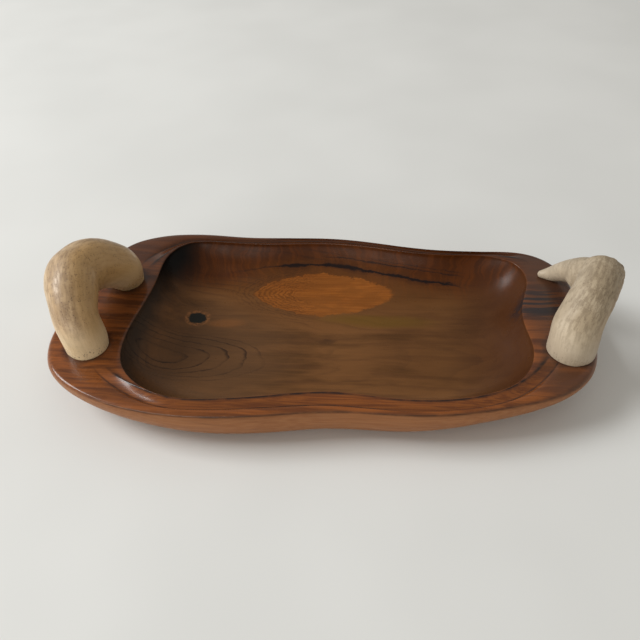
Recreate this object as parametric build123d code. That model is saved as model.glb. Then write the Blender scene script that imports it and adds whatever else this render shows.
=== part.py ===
from build123d import *

import math
import os

# A carved hardwood serving bowl with two antler handles, in millimetres.
#
# The bowl is one block of wood: a boat-shaped hull, a lobed hollow, a gouged channel along each
# long rim, and a flat deck at each end.  Each handle stands on its deck on two feet.  A wood screw
# comes up through the deck into each foot, and a glued plug closes the hole under its head.
# The origin is on the table, under the middle of the bowl: +X runs to the right-hand end,
# +Y to the back and +Z up.

# Bowl body: overall sizes, and the walls that are set by themselves.
BODY_LENGTH = 532.0
BODY_WIDTH = 272.0
BODY_HEIGHT = 48.0
FLOOR_THICKNESS = 12.0
END_DECK = 65.0  # from the end of the body to the end of the hollow
SIDE_RIM = 18.0  # from the back of the body to the back of the hollow
HOLLOW_SHIFT = 11.0  # the hollow sits nearer the right-hand end
END_UNDERCUT = 70.0  # how far the base stands in from the ends
SIDE_UNDERCUT = 26.0  # and from the long sides
HOLLOW_END_SLOPE = 46.0  # how far the hollow's floor stands in from its edge at the ends
HOLLOW_SIDE_SLOPE = 38.0  # and along the sides

# Channel gouged along each long rim, down its middle or nearer the hollow where it widens.
CHANNEL_OFFSET = 10.0  # the most that its middle stands away from the hollow's edge
GOUGE_RADIUS = 9.5
CHANNEL_LAND = 2.0  # rim left flat on each side of the channel
GOUGE_LIFT = 0.8  # how high above the deck the cut starts and ends
GOUGE_TOP = 1.8  # the cutter's flat top, above the deck
CHANNEL_RUNOUT = 45.0  # the length over which the gouge lifts out of the wood
CHANNEL_STATIONS = 9
FRONT_CHANNEL = (0.575, 0.955)  # where each channel starts and ends, along the hollow's edge
BACK_CHANNEL = (0.072, 0.45)

# Screws and plugs.
SCREW_RADIUS = 2.5
SCREW_HEAD_RADIUS = 4.6
SCREW_HEAD_HEIGHT = 3.2
THREAD_PITCH = 2.2
THREAD_DEPTH = 0.7
SCREW_GRIP = 18.0  # wood left between the screw's head and the deck
PLUG_RADIUS = 5.5
SLOT_WIDTH = 1.2
SLOT_DEPTH = 1.3
CLEARANCE = 0.06  # between pieces that are made to fit
TOP_CLEARANCE = 0.6  # between a screw's head and its plug, and beyond its point

# Outlines, as shares of half the length and half the width, anticlockwise from the right.
BODY_SHAPE = [
    (1.0, -0.184), (0.977, 0.331), (0.929, 0.662), (0.835, 0.801), (0.677, 0.842),
    (0.489, 0.849), (0.282, 0.901), (0.056, 0.974), (-0.188, 0.978), (-0.338, 0.974),
    (-0.526, 1.0), (-0.695, 0.982), (-0.835, 0.868), (-0.917, 0.625), (-0.959, 0.257),
    (-1.0, -0.331), (-0.944, -0.625), (-0.827, -0.801), (-0.632, -0.934), (-0.395, -0.985),
    (-0.150, -0.949), (0.075, -0.897), (0.282, -0.901), (0.489, -0.875), (0.695, -0.779),
    (0.846, -0.669), (0.951, -0.493),
]  # fmt: skip
HOLLOW_SHAPE = [
    (0.940, 0.070), (0.970, 0.320), (1.000, 0.540), (0.955, 0.770), (0.830, 0.864),
    (0.592, 0.869), (0.343, 0.911), (0.119, 0.979), (-0.129, 1.000), (-0.428, 0.975),
    (-0.700, 1.000), (-0.856, 0.966), (-0.930, 0.822), (-0.955, 0.424), (-0.980, 0.000),
    (-1.000, -0.356), (-0.970, -0.627), (-0.876, -0.822), (-0.700, -0.962), (-0.478, -0.966),
    (-0.229, -0.907), (0.020, -0.852), (0.269, -0.890), (0.493, -0.898), (0.692, -0.835),
    (0.851, -0.703), (0.935, -0.508), (0.960, -0.322), (0.945, -0.100),
]  # fmt: skip

# Profiles: share of the height, share of the inset at the ends, share along the sides.
HULL_PROFILE = [
    (0.0, 1.0, 1.0), (0.125, 0.80, 0.56), (0.3, 0.52, 0.24), (0.55, 0.17, 0.04),
    (0.80, 0.01, 0.0), (0.94, 0.0, 0.01), (1.0, 0.03, 0.08),
]  # fmt: skip
HOLLOW_PROFILE = [
    (1.0, 0.0, 0.0), (0.80, 0.06, 0.06), (0.50, 0.22, 0.22), (0.20, 0.52, 0.52),
    (0.05, 0.82, 0.82), (0.0, 1.0, 1.0),
]  # fmt: skip

# Handles: stations (x, y, height above the deck, radius), from the middle of the front foot.
# The first and last stations of a leg lie under the deck, so that the foot is cut flat.
LEFT_FRONT_FOOT_Y = -54.0
LEFT_HANDLE = [
    (1, 0, -8, 20.0), (0.5, 0, 6, 20.8), (-0.5, 0, 20, 21.4), (-4, 5, 34, 22.2),
    (-9, 21, 44, 24.5), (-15, 47, 49, 27.4), (-8, 66, 46, 27.2), (4, 80, 36, 24.6),
    (10, 92, 22, 23.0), (11, 99, 9, 20.0), (11, 103, -6, 17.0),
]  # fmt: skip
RIGHT_FRONT_FOOT_Y = -38.0
RIGHT_BEAM = [
    (0, 0, -8, 21.5), (0, 0, 6, 23.0), (1, 5, 20, 23.4), (8, 15, 36, 21.8),
    (18, 31, 45, 21.8), (28, 51, 45, 21.4), (33, 61, 43, 19.0),
]  # fmt: skip
RIGHT_TINE = [
    (30, 55, 44, 18.0), (20, 70, 38, 14.8), (13, 84, 28, 12.6), (6, 95, 16, 10.2),
    (-3, 104, 6, 7.6), (-11, 107, 3, 4.6),
]  # fmt: skip
BURR_ROUNDING = 7.0
LEFT_FOOT_SHIFT = 5.0  # how far each front foot stands to the right of its deck's middle
RIGHT_FOOT_SHIFT = -1.0
LEFT_REAR_FOOT = (11, 101)  # where the rear screws stand, from the front foot
RIGHT_REAR_FOOT = (-3, 104)
# How far each screw reaches into its foot.
LONG_REACH = 22.0
SHORT_REACH = 9.0

deck = BODY_HEIGHT
hollow_depth = BODY_HEIGHT - FLOOR_THICKNESS
hollow_half_length = BODY_LENGTH / 2 - END_DECK
hollow_half_width = BODY_WIDTH / 2 - SIDE_RIM


def spacing(shape):
    """Distances along a closed outline of shares, on a body of the overall sizes."""
    stops = [0.0]
    for (x0, y0), (x1, y1) in zip(shape, shape[1:] + shape[:1]):
        step = math.hypot((x1 - x0) * BODY_LENGTH, (y1 - y0) * BODY_WIDTH)
        stops.append(stops[-1] + step)
    return stops


def outline(shape, half_length, half_width, height, shift=0.0):
    """A closed smooth outline at a height, from a list of shares."""
    points = [(shift + x * half_length, y * half_width, height) for x, y in shape]
    return Edge.make_spline([Vector(p) for p in points], periodic=True, parameters=spacing(shape))


def shell_loft(shape, profile, half_length, half_width, end_inset, side_inset, low, high, shift=0.0):
    """A solid through a stack of outlines, which stand in by the profile's shares."""
    layers = []
    for rise, end_share, side_share in profile:
        edge = outline(
            shape,
            half_length - end_share * end_inset,
            half_width - side_share * side_inset,
            low + rise * (high - low),
            shift,
        )
        layers.append(Face(Wire([edge])))
    return loft(layers)


def hull():
    """The outside of the bowl, as a solid block."""
    half_length = BODY_LENGTH / 2
    half_width = BODY_WIDTH / 2
    return shell_loft(
        BODY_SHAPE, HULL_PROFILE, half_length, half_width, END_UNDERCUT, SIDE_UNDERCUT, 0, deck
    )


def hollow():
    """The scooped inside, up to the deck."""
    return shell_loft(
        HOLLOW_SHAPE,
        HOLLOW_PROFILE,
        hollow_half_length,
        hollow_half_width,
        HOLLOW_END_SLOPE,
        HOLLOW_SIDE_SLOPE,
        FLOOR_THICKNESS,
        deck,
        HOLLOW_SHIFT,
    )


def channel(start, end):
    """The gouge's cut along a rim, as deep as leaves a land on each side."""
    inner = outline(HOLLOW_SHAPE, hollow_half_length, hollow_half_width, deck, HOLLOW_SHIFT)
    _, end_share, side_share = HULL_PROFILE[-1]
    half_length = BODY_LENGTH / 2 - end_share * END_UNDERCUT
    half_width = BODY_WIDTH / 2 - side_share * SIDE_UNDERCUT
    outer = outline(BODY_SHAPE, half_length, half_width, deck)
    middles = []
    depths = []
    for i in range(CHANNEL_STATIONS):
        share = i / (CHANNEL_STATIONS - 1)
        inside = inner.position_at(start + share * (end - start))
        rim, _, outside = Vertex(inside).distance_to_with_closest_points(outer)
        reach = min(rim / 2, CHANNEL_OFFSET) - CHANNEL_LAND
        full_depth = GOUGE_RADIUS - math.sqrt(GOUGE_RADIUS**2 - reach**2)
        to_end = min(share, 1 - share) * inner.length * (end - start)
        sunk = min(1.0, to_end / CHANNEL_RUNOUT)
        middles.append(inside + (outside - inside) * min(0.5, CHANNEL_OFFSET / rim))
        depths.append(full_depth * sunk - GOUGE_LIFT * (1 - sunk))
    route = Spline(*middles)
    cuts = []
    for middle, depth in zip(middles, depths):
        along = route.tangent_at(route.param_at_point(middle))
        across = Plane(origin=middle, x_dir=(-along.Y, along.X, 0), z_dir=along)
        rise = GOUGE_RADIUS - depth - GOUGE_TOP
        half = math.sqrt(GOUGE_RADIUS**2 - rise**2)
        arc = ThreePointArc((-half, GOUGE_TOP), (0, -depth), (half, GOUGE_TOP))
        chord = Line((half, GOUGE_TOP), (-half, GOUGE_TOP))
        cuts.append(across * make_face(arc + chord))
    return loft(cuts)


def tube(stations):
    """A smooth limb through round sections that stand square to its line."""
    middles = [Vector(x, y, z) for x, y, z, _ in stations]
    line = Spline(*middles)
    sections = []
    for middle, (_, _, _, radius) in zip(middles, stations):
        at = line.param_at_point(middle)
        sections.append(Plane(origin=middle, z_dir=line.tangent_at(at)) * Circle(radius))
    return loft(sections)


def stand_on_deck(limb, x, y):
    """The limb placed on the deck, with all that is under the deck cut away."""
    reach = 2 * BODY_LENGTH  # past the limb on every side
    below = Box(reach, reach, reach, align=(Align.CENTER, Align.CENTER, Align.MAX))
    return Pos(x, y, deck) * (limb - below)


def left_handle():
    """A stout antler bent over into a hook, on two sawn feet."""
    return stand_on_deck(tube(LEFT_HANDLE), left_foot_x, LEFT_FRONT_FOOT_Y)


def right_handle():
    """An antler beam that ends in a burr, with a tine that bends down to the deck."""
    beam = tube(RIGHT_BEAM)
    burr = max(beam.faces().filter_by(GeomType.PLANE), key=lambda f: f.center().Z)
    beam = fillet(burr.edges(), BURR_ROUNDING)
    x, y, z, radius = RIGHT_TINE[-1]
    tip = Pos(x, y, z) * Sphere(radius)
    return stand_on_deck(beam + tube(RIGHT_TINE) + tip, right_foot_x, RIGHT_FRONT_FOOT_Y)


def screw(reach):
    """A slotted countersunk wood screw, with its head's top face at the origin, pointing up."""
    length = SCREW_GRIP + reach
    core = SCREW_RADIUS - THREAD_DEPTH
    profile = [(0, 0), (SCREW_HEAD_RADIUS, 0), (SCREW_RADIUS, SCREW_HEAD_HEIGHT)]
    profile.append((SCREW_RADIUS, SCREW_GRIP - THREAD_PITCH))
    turns = int((reach - SCREW_HEAD_HEIGHT) / THREAD_PITCH)
    for turn in range(turns):
        foot = SCREW_GRIP + turn * THREAD_PITCH
        profile.append((core, foot))
        profile.append((SCREW_RADIUS, foot + THREAD_PITCH / 2))
    profile.append((core, SCREW_GRIP + turns * THREAD_PITCH))
    profile.append((0, length))
    body = revolve(Plane.XZ * make_face(Polyline(*profile, close=True)), Axis.Z)
    slot_length = 3 * SCREW_HEAD_RADIUS  # it runs out past the head on both sides
    slot = Box(slot_length, SLOT_WIDTH, 2 * SLOT_DEPTH)
    return body - slot


def screw_hole(reach):
    """The room for a screw: countersink, shank and pilot hole."""
    wide = CLEARANCE
    top = SCREW_GRIP + reach + TOP_CLEARANCE
    profile = [(0, 0), (SCREW_HEAD_RADIUS + wide, 0), (SCREW_RADIUS + wide, SCREW_HEAD_HEIGHT)]
    profile += [(SCREW_RADIUS + wide, top - SCREW_RADIUS), (0, top)]
    return revolve(Plane.XZ * make_face(Polyline(*profile, close=True)), Axis.Z)


def counterbore():
    """The plug's hole, from below the bowl up to the screw's head."""
    return Cylinder(PLUG_RADIUS, deck, align=(Align.CENTER, Align.CENTER, Align.MAX))


def plug(x, y, block):
    """A plug trimmed flush with the hull, a little short of the screw's head."""
    peg = Cylinder(PLUG_RADIUS - CLEARANCE, deck, align=(Align.CENTER, Align.CENTER, Align.MAX))
    return Pos(x, y, deck - SCREW_GRIP - TOP_CLEARANCE) * peg & block


# Each front foot stands near the middle of its deck.
left_hollow_end = HOLLOW_SHIFT - hollow_half_length
right_hollow_end = HOLLOW_SHIFT + hollow_half_length
left_foot_x = (left_hollow_end - BODY_LENGTH / 2) / 2 + LEFT_FOOT_SHIFT
right_foot_x = (right_hollow_end + BODY_LENGTH / 2) / 2 + RIGHT_FOOT_SHIFT

FEET = {
    "left_front": (left_foot_x, LEFT_FRONT_FOOT_Y, LONG_REACH, "left_handle"),
    "left_rear": (
        left_foot_x + LEFT_REAR_FOOT[0],
        LEFT_FRONT_FOOT_Y + LEFT_REAR_FOOT[1],
        LONG_REACH,
        "left_handle",
    ),
    "right_front": (right_foot_x, RIGHT_FRONT_FOOT_Y, LONG_REACH, "right_handle"),
    "right_rear": (
        right_foot_x + RIGHT_REAR_FOOT[0],
        RIGHT_FRONT_FOOT_Y + RIGHT_REAR_FOOT[1],
        SHORT_REACH,
        "right_handle",
    ),
}

block = hull()
parts = {"left_handle": left_handle(), "right_handle": right_handle()}
body = block - channel(*FRONT_CHANNEL) - channel(*BACK_CHANNEL) - hollow()
for foot, (x, y, reach, handle) in FEET.items():
    head = Pos(x, y, deck - SCREW_GRIP)
    hole = head * screw_hole(reach)
    body = body - hole - head * counterbore()
    parts[handle] = parts[handle] - hole
    parts[foot + "_screw"] = head * screw(reach)
    parts[foot + "_plug"] = plug(x, y, block)
parts["bowl_body"] = body

os.makedirs("parts", exist_ok=True)
for name, shape in parts.items():
    export_step(shape, f"parts/{name}.step")
    print(name, [round(v, 1) for v in (*shape.bounding_box().min, *shape.bounding_box().max)])
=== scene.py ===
import math

import bmesh
import bpy
import numpy as np
from mathutils import Matrix, Vector, noise


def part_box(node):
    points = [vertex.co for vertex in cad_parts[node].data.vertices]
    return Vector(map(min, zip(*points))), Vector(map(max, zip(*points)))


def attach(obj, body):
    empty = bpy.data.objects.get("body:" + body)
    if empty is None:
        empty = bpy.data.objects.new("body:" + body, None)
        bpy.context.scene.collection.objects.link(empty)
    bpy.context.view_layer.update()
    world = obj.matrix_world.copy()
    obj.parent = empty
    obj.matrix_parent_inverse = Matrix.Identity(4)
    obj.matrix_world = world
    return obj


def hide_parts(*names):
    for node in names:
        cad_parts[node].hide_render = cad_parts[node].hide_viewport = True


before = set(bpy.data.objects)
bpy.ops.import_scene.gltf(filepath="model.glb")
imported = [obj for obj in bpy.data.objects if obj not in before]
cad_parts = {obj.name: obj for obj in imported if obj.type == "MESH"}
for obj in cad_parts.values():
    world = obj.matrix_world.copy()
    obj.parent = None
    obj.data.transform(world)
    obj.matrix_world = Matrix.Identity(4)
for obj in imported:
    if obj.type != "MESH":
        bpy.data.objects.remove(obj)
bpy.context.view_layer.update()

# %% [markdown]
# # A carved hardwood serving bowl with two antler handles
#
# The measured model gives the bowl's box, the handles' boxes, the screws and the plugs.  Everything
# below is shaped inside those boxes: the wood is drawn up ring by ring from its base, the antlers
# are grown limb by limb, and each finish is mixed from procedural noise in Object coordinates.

MM = 0.001
body_low, body_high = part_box("bowl_body")
half_length = (body_high.x - body_low.x) / 2 / MM
half_width = (body_high.y - body_low.y) / 2 / MM
deck = body_high.z / MM
print("bowl body, mm:", round(2 * half_length), round(2 * half_width), round(deck))


def deselect_all():
    """Leaves edit mode and drops every selection, so the next operator acts on one thing only."""
    if bpy.context.object and bpy.context.object.mode != "OBJECT":
        bpy.ops.object.mode_set(mode="OBJECT")
    bpy.ops.object.select_all(action="DESELECT")


def pick(piece):
    """Makes one piece the selected and active one."""
    deselect_all()
    piece.select_set(True)
    bpy.context.view_layer.objects.active = piece


def apply_modifier(piece, kind, **settings):
    """Adds a modifier with the given settings and applies it at once."""
    pick(piece)
    modifier = piece.modifiers.new(kind.title(), kind)
    for name, value in settings.items():
        setattr(modifier, name, value)
    bpy.ops.object.modifier_apply(modifier=modifier.name)


def report(piece):
    """Prints a piece's size in millimetres and its number of faces."""
    size = [round(side / MM, 1) for side in piece.dimensions]
    print(piece.name, "size", size, "faces", len(piece.data.polygons))


# %% [markdown]
# ## The bowl's outlines
#
# Two closed curves shape the wood: the outside of the block and the edge of the hollow.  Both are
# lists of a few shares of half the length and half the width, joined by a smooth closed spline.  A
# ray from the middle of the hollow crosses each curve once, so the same ray gives a point on the
# hollow's edge and the point of the rim that faces it.

# %% Outlines of the block and of the hollow
BODY_SHAPE = [
    (1.0, -0.184), (0.977, 0.331), (0.929, 0.662), (0.835, 0.801), (0.677, 0.842),
    (0.489, 0.849), (0.282, 0.901), (0.056, 0.974), (-0.188, 0.978), (-0.338, 0.974),
    (-0.526, 1.0), (-0.695, 0.982), (-0.835, 0.868), (-0.917, 0.625), (-0.959, 0.257),
    (-1.0, -0.331), (-0.944, -0.625), (-0.827, -0.801), (-0.632, -0.934), (-0.395, -0.985),
    (-0.150, -0.949), (0.075, -0.897), (0.282, -0.901), (0.489, -0.875), (0.695, -0.779),
    (0.846, -0.669), (0.951, -0.493),
]  # fmt: skip
HOLLOW_SHAPE = [
    (0.940, 0.070), (0.970, 0.320), (1.000, 0.540), (0.955, 0.770), (0.830, 0.864),
    (0.592, 0.869), (0.343, 0.911), (0.119, 0.979), (-0.129, 1.000), (-0.428, 0.975),
    (-0.700, 1.000), (-0.856, 0.966), (-0.930, 0.822), (-0.955, 0.424), (-0.980, 0.000),
    (-1.000, -0.356), (-0.970, -0.627), (-0.876, -0.822), (-0.700, -0.962), (-0.478, -0.966),
    (-0.229, -0.907), (0.020, -0.852), (0.269, -0.890), (0.493, -0.898), (0.692, -0.835),
    (0.851, -0.703), (0.935, -0.508), (0.960, -0.322), (0.945, -0.100),
]  # fmt: skip
HOLLOW_SHIFT = 11.0
END_DECK = 65.0
SIDE_RIM = 18.0
BLOCK_HALF = np.array([266.0, 136.0])  # the outline's own half sizes, without the curve's bulge
HOLLOW_HALF = BLOCK_HALF - [END_DECK, SIDE_RIM]
STATIONS = 128


def closed_spline(points, count):
    """Points at even steps along the smooth closed curve through a list of points."""
    points = np.array(points, float)
    steps = np.linalg.norm(np.roll(points, -1, 0) - points, axis=1)
    size = len(points)
    left = np.roll(steps, 1)
    slopes = (np.roll(points, -1, 0) - points) / steps[:, None]
    matrix = np.zeros((size, size))
    for i in range(size):
        matrix[i, i] = 2 * (left[i] + steps[i])
        matrix[i, i - 1] += left[i]
        matrix[i, (i + 1) % size] += steps[i]
    bends = np.linalg.solve(matrix, 6 * (slopes - np.roll(slopes, 1, 0)))
    stops = np.concatenate([[0], np.cumsum(steps)])
    at = np.linspace(0, stops[-1], count, endpoint=False)
    i = np.searchsorted(stops, at, side="right") - 1
    a = (at - stops[i])[:, None]
    b = steps[i][:, None] - a
    h = steps[i][:, None]
    j = (i + 1) % size
    curve = (bends[i] * b**3 + bends[j] * a**3) / (6 * h)
    return curve + (points[i] / h - bends[i] * h / 6) * b + (points[j] / h - bends[j] * h / 6) * a


def ray_angles(points):
    """The angle at which each point is seen from the middle, with both axes scaled to one."""
    return np.unwrap(np.arctan2(points[:, 1], points[:, 0]))


hollow_centre = np.array([HOLLOW_SHIFT, 0.0])
hollow_edge = closed_spline(np.array(HOLLOW_SHAPE) * HOLLOW_HALF, STATIONS)
hollow_shares = hollow_edge / HOLLOW_HALF
dense_block = closed_spline(np.array(BODY_SHAPE) * BLOCK_HALF, 2000)
rays = ray_angles(hollow_shares)
dense_rays = ray_angles((dense_block - hollow_centre) / HOLLOW_HALF)
order = np.argsort(dense_rays % math.tau)
block_edge = np.stack(
    [
        np.interp(rays % math.tau, (dense_rays % math.tau)[order], dense_block[order, axis], period=math.tau)
        for axis in (0, 1)
    ],
    axis=1,
)
block_shares = block_edge / BLOCK_HALF
hollow_edge = hollow_edge + hollow_centre
rim_width = np.linalg.norm(block_edge - hollow_edge, axis=1)
outward = (block_edge - hollow_edge) / rim_width[:, None]
hollow_run = np.linalg.norm(np.roll(hollow_edge, -1, 0) - hollow_edge, axis=1).sum()
print("rim is", round(rim_width.min()), "to", round(rim_width.max()), "mm wide")
print("the hollow's edge is", round(hollow_run), "mm round")

# %% [markdown]
# ## The gouged channels
#
# A channel runs along each long rim.  The carver starts it on the deck beyond the hollow's corner,
# sinks the gouge within a few centimetres, and lets it rise again at the far end, so both tips are
# leaf-shaped.  From the hollow's side the cut slopes down gently to a valley near the outer bead,
# and climbs out of it steeply.  The outer crest ends a little lower than the inner one.  The
# channel could also be cut with a boolean, but drawing it into the rings keeps the mesh even.

# %% How deep the channel is at each station
FRONT_CHANNEL = (0.572, 0.958)  # start and end, as shares of the way round the hollow's edge
BACK_CHANNEL = (0.072, 0.452)
CHANNEL_RUNOUT = 52.0  # the length over which the gouge sinks or lifts
CHANNEL_WIDTH = 13.5
CHANNEL_DEPTH = 5.4
CREST_DROP = 2.2
BEAD_BULGE = 1.2
LAND_AT_TIP = 15.0  # rim left flat between the channel and the hollow, at the tips
LAND = 0.9  # and along the rest of it
OUTER_ROOM = 2.6  # rim kept for the outer bead, where the rim is wide enough
DIRT_AND_SHADE_RISE = 4.0  # the dark line of dirt and painted shade reaches even the shallow tips


def smooth(x):
    """An ease from 0 to 1."""
    x = np.clip(x, 0, 1)
    return x * x * (3 - 2 * x)


around = np.arange(STATIONS) / STATIONS
sunk = np.zeros(STATIONS)
for start, end in (FRONT_CHANNEL, BACK_CHANNEL):
    to_end = np.minimum(around - start, end - around) * hollow_run
    sunk = np.maximum(sunk, np.clip(to_end / CHANNEL_RUNOUT, 0, 1))
depth_share = smooth(sunk)
dirt_and_shade = smooth(sunk * DIRT_AND_SHADE_RISE)
land = LAND + (LAND_AT_TIP - LAND) * (1 - sunk) ** 1.5
fit = np.clip((rim_width - land - OUTER_ROOM) / CHANNEL_WIDTH, 0.3, 1)

# %% [markdown]
# ## The block, ring by ring
#
# One disc is drawn on the table and extruded again and again.  Each new ring is moved onto its own
# outline: up the hull, over the rounded rim, across the deck and the channel, down the wall and in
# over the floor.  Rings that lie close together keep an edge crisp after subdivision, and rings
# that stand apart let it flow.  Each ring also leaves four numbers on its vertices, which the
# finishes read: how much this is hull, rim edge, hollow, or a dark line of dirt and painted shade.

# %% Ring positions
RIM_INSET = 0.3  # how far inside the block's outline the rim is drawn
TOP_INSET = 0.06  # and how far under the deck's height
HULL_PROFILE = [
    (0.0, 1.0, 1.0), (0.02, 0.965, 0.91), (0.06, 0.90, 0.75), (0.125, 0.80, 0.56),
    (0.20, 0.68, 0.39), (0.30, 0.52, 0.24), (0.42, 0.345, 0.12), (0.55, 0.17, 0.045),
    (0.67, 0.06, 0.012), (0.78, 0.016, 0.004),
]  # fmt: skip
HOLLOW_PROFILE = [
    (0.965, 0.004), (0.90, 0.018), (0.80, 0.06), (0.66, 0.128), (0.50, 0.22), (0.34, 0.35),
    (0.20, 0.51), (0.10, 0.68), (0.035, 0.85), (0.0, 1.02),
]  # fmt: skip
END_UNDERCUT = 70.0
SIDE_UNDERCUT = 26.0
HOLLOW_END_SLOPE = 46.0
HOLLOW_SIDE_SLOPE = 38.0
FLOOR_THICKNESS = 12.0
EDGE_ROUNDING = 3.2  # along the sides; the rounding grows to END_ROUNDING at the two ends
END_ROUNDING = 6.5
# Share of the way from the hollow to the outer bead, and share of the full depth there.
CHANNEL_SECTION = [
    (0.0, 0.0), (0.05, 0.10), (0.16, 0.31), (0.34, 0.60), (0.55, 0.86), (0.72, 0.99), (0.79, 1.0),
    (0.85, 0.98), (0.90, 0.88), (0.95, 0.72),
]  # fmt: skip
# Where the dark line of dirt and painted shade lies across the channel, and how thick: along its inner edge
# and in its valley.
DARK_ACROSS = [0.0, 0.05, 0.16, 0.72, 0.79, 0.85, 0.90]
DARK_SHARE = [1.0, 1.0, 0.1, 0.0, 0.75, 0.85, 0.0]


def hull_ring(rise, end_share, side_share):
    """A ring of the hull: the block's outline, drawn in at its ends and sides."""
    size = BLOCK_HALF - [end_share * END_UNDERCUT, side_share * SIDE_UNDERCUT]
    flat = block_shares * size
    return np.column_stack([flat, np.full(STATIONS, rise * deck)])


def wall_ring(rise, inset):
    """A ring of the hollow's wall: the hollow's outline, drawn in."""
    size = HOLLOW_HALF - [inset * HOLLOW_END_SLOPE, inset * HOLLOW_SIDE_SLOPE]
    flat = hollow_shares * size + hollow_centre
    height = FLOOR_THICKNESS + rise * (deck - FLOOR_THICKNESS)
    return np.column_stack([flat, np.full(STATIONS, height)])


def deck_ring(away, drop):
    """A ring on the deck, at a distance from the hollow's edge and a depth at each station."""
    flat = hollow_edge + outward * np.asarray(away)[:, None]
    return np.column_stack([flat, deck - np.asarray(drop)])


rings = []
ZONES = ("hull", "edge", "hollow", "line")


def lay(points, **zones):
    """Keeps a ring and, for each zone, one value or one value per station."""
    values = [np.broadcast_to(zones.get(zone, 0.0), STATIONS) for zone in ZONES]
    rings.append((points, values))


for share in (0.02, 0.45, 0.8, 0.96):
    lay(hull_ring(0.0, 1.0, 1.0) * [share, share, 1.0], hull=1)
for rise, end_share, side_share in HULL_PROFILE:
    lay(hull_ring(rise, end_share, side_share), hull=1)
side_on = smooth(np.abs(block_shares[:, 1]) ** 3 * 1.3)
rounding = END_ROUNDING + (EDGE_ROUNDING - END_ROUNDING) * side_on
crest_drop = CREST_DROP * depth_share * fit
# the rings over the rounded rim carry the dark line under the crest: stain and painted shade
for turn, hull, line in ((0, 0.95, 0.1), (30, 0.45, 0.85), (60, 0.05, 0.2), (90, 0.0, 0.0)):
    inset = rounding * (1 - math.cos(math.radians(turn)))
    drop = rounding * (1 - math.sin(math.radians(turn))) + crest_drop + TOP_INSET
    lay(deck_ring(rim_width - RIM_INSET - inset, drop), hull=hull, edge=0.5, line=line * depth_share)
crest = rim_width - RIM_INSET - rounding
channel_out = np.minimum(land + CHANNEL_WIDTH * fit, crest - 0.4)
for share, bulge in ((0.3, 0.5), (0.6, 0.35), (0.9, 0.0)):
    drop = crest_drop - bulge * BEAD_BULGE * depth_share
    lay(deck_ring(crest + (channel_out - crest) * share, drop), edge=0.5 * depth_share)
# the channel's rings carry the dark line along its inner edge and in its valley: dirt and painted shade
for across, depth in reversed(CHANNEL_SECTION):
    away = land + across * (channel_out - land)
    full = CHANNEL_DEPTH * fit * depth_share
    back = crest_drop * across**3
    dark = np.interp(across, DARK_ACROSS, DARK_SHARE)
    lay(deck_ring(away, np.maximum(full * depth, back)), edge=depth_share, line=dark * dirt_and_shade)
lay(deck_ring(land * 0.5, np.zeros(STATIONS)), line=0.1 * depth_share)
lay(deck_ring(np.full(STATIONS, 0.12), np.full(STATIONS, 0.05)), line=0.15 * depth_share)
for rise, inset in HOLLOW_PROFILE:
    lay(wall_ring(rise, inset), hollow=1)
for share in (0.72, 0.4, 0.1, 0.01):
    ring = wall_ring(0.0, 1.0)
    ring[:, :2] = hollow_centre + (ring[:, :2] - hollow_centre) * share
    lay(ring, hollow=1)
print(len(rings), "rings of", STATIONS, "stations")

# %% [markdown]
# The block could also be sculpted, or cut from a solid with booleans.  Extruding one ring at a
# time gives even quads all the way round, which subdivide smoothly.

# %% Draw the disc and extrude it through the rings
deselect_all()
bpy.ops.mesh.primitive_circle_add(vertices=STATIONS, radius=half_width * MM, fill_type="NGON")
bowl = bpy.context.object
bowl.name = "carved_bowl"
station_mark = bowl.data.attributes.new("station", "INT", "POINT")
station_mark.data.foreach_set("value", list(range(STATIONS)))
for zone in ZONES:
    bowl.data.attributes.new(zone, "FLOAT", "POINT")
pick(bowl)
bpy.ops.object.mode_set(mode="EDIT")
bpy.ops.mesh.select_all(action="SELECT")
for number, (points, values) in enumerate(rings):
    if number:
        bpy.ops.mesh.extrude_region_move()
    mesh = bmesh.from_edit_mesh(bowl.data)
    mark = mesh.verts.layers.int["station"]
    layers = [mesh.verts.layers.float[zone] for zone in ZONES]
    for vertex in mesh.verts:
        if vertex.select:
            station = vertex[mark]
            vertex.co = Vector(points[station] * MM)
            for layer, value in zip(layers, values):
                vertex[layer] = value[station]
    bmesh.update_edit_mesh(bowl.data)
bpy.ops.mesh.merge(type="CENTER")
bpy.ops.mesh.select_all(action="SELECT")
bpy.ops.mesh.normals_make_consistent(inside=False)
bpy.ops.object.mode_set(mode="OBJECT")
apply_modifier(bowl, "SUBSURF", levels=2, render_levels=2)
report(bowl)

# %% [markdown]
# ## The carver's hand
#
# No bowl that is cut with a gouge and a scraper is quite even.  The finished surface is moved by a
# few tenths of a millimetre with slow noise, all over except under its foot.  Nearly all of the
# movement goes inwards, so the bowl keeps to its measured box.  A Displace modifier could do the
# same; moving the vertices in a loop lets the flat foot be left out.

# %% Uneven the surface a little
WAVE_LENGTH = 38.0
WAVE_DEPTH = 0.55
FLAT_FOOT = 0.5  # the lowest half millimetre stays as drawn, so that the bowl stands level


def move_along_normals(piece, amount):
    """Moves each vertex along its normal by amount(place in mm, vertex), in mm."""
    data = piece.data
    normals = np.array([vertex.normal for vertex in data.vertices])
    places = np.array([vertex.co for vertex in data.vertices])
    moves = np.array([amount(place / MM, i) for i, place in enumerate(places)])
    data.vertices.foreach_set("co", (places + normals * moves[:, None] * MM).ravel())
    data.update()


def carved(place, i):
    if place[2] < FLAT_FOOT:
        return 0.0
    slow = noise.noise(Vector(place / WAVE_LENGTH) + Vector((3.1, 7.7, 1.3)))
    return -WAVE_DEPTH * (0.5 + slow) * 0.5


move_along_normals(bowl, carved)
pick(bowl)
bpy.ops.object.shade_smooth()
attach(bowl, "root")
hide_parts("bowl_body")

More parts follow.
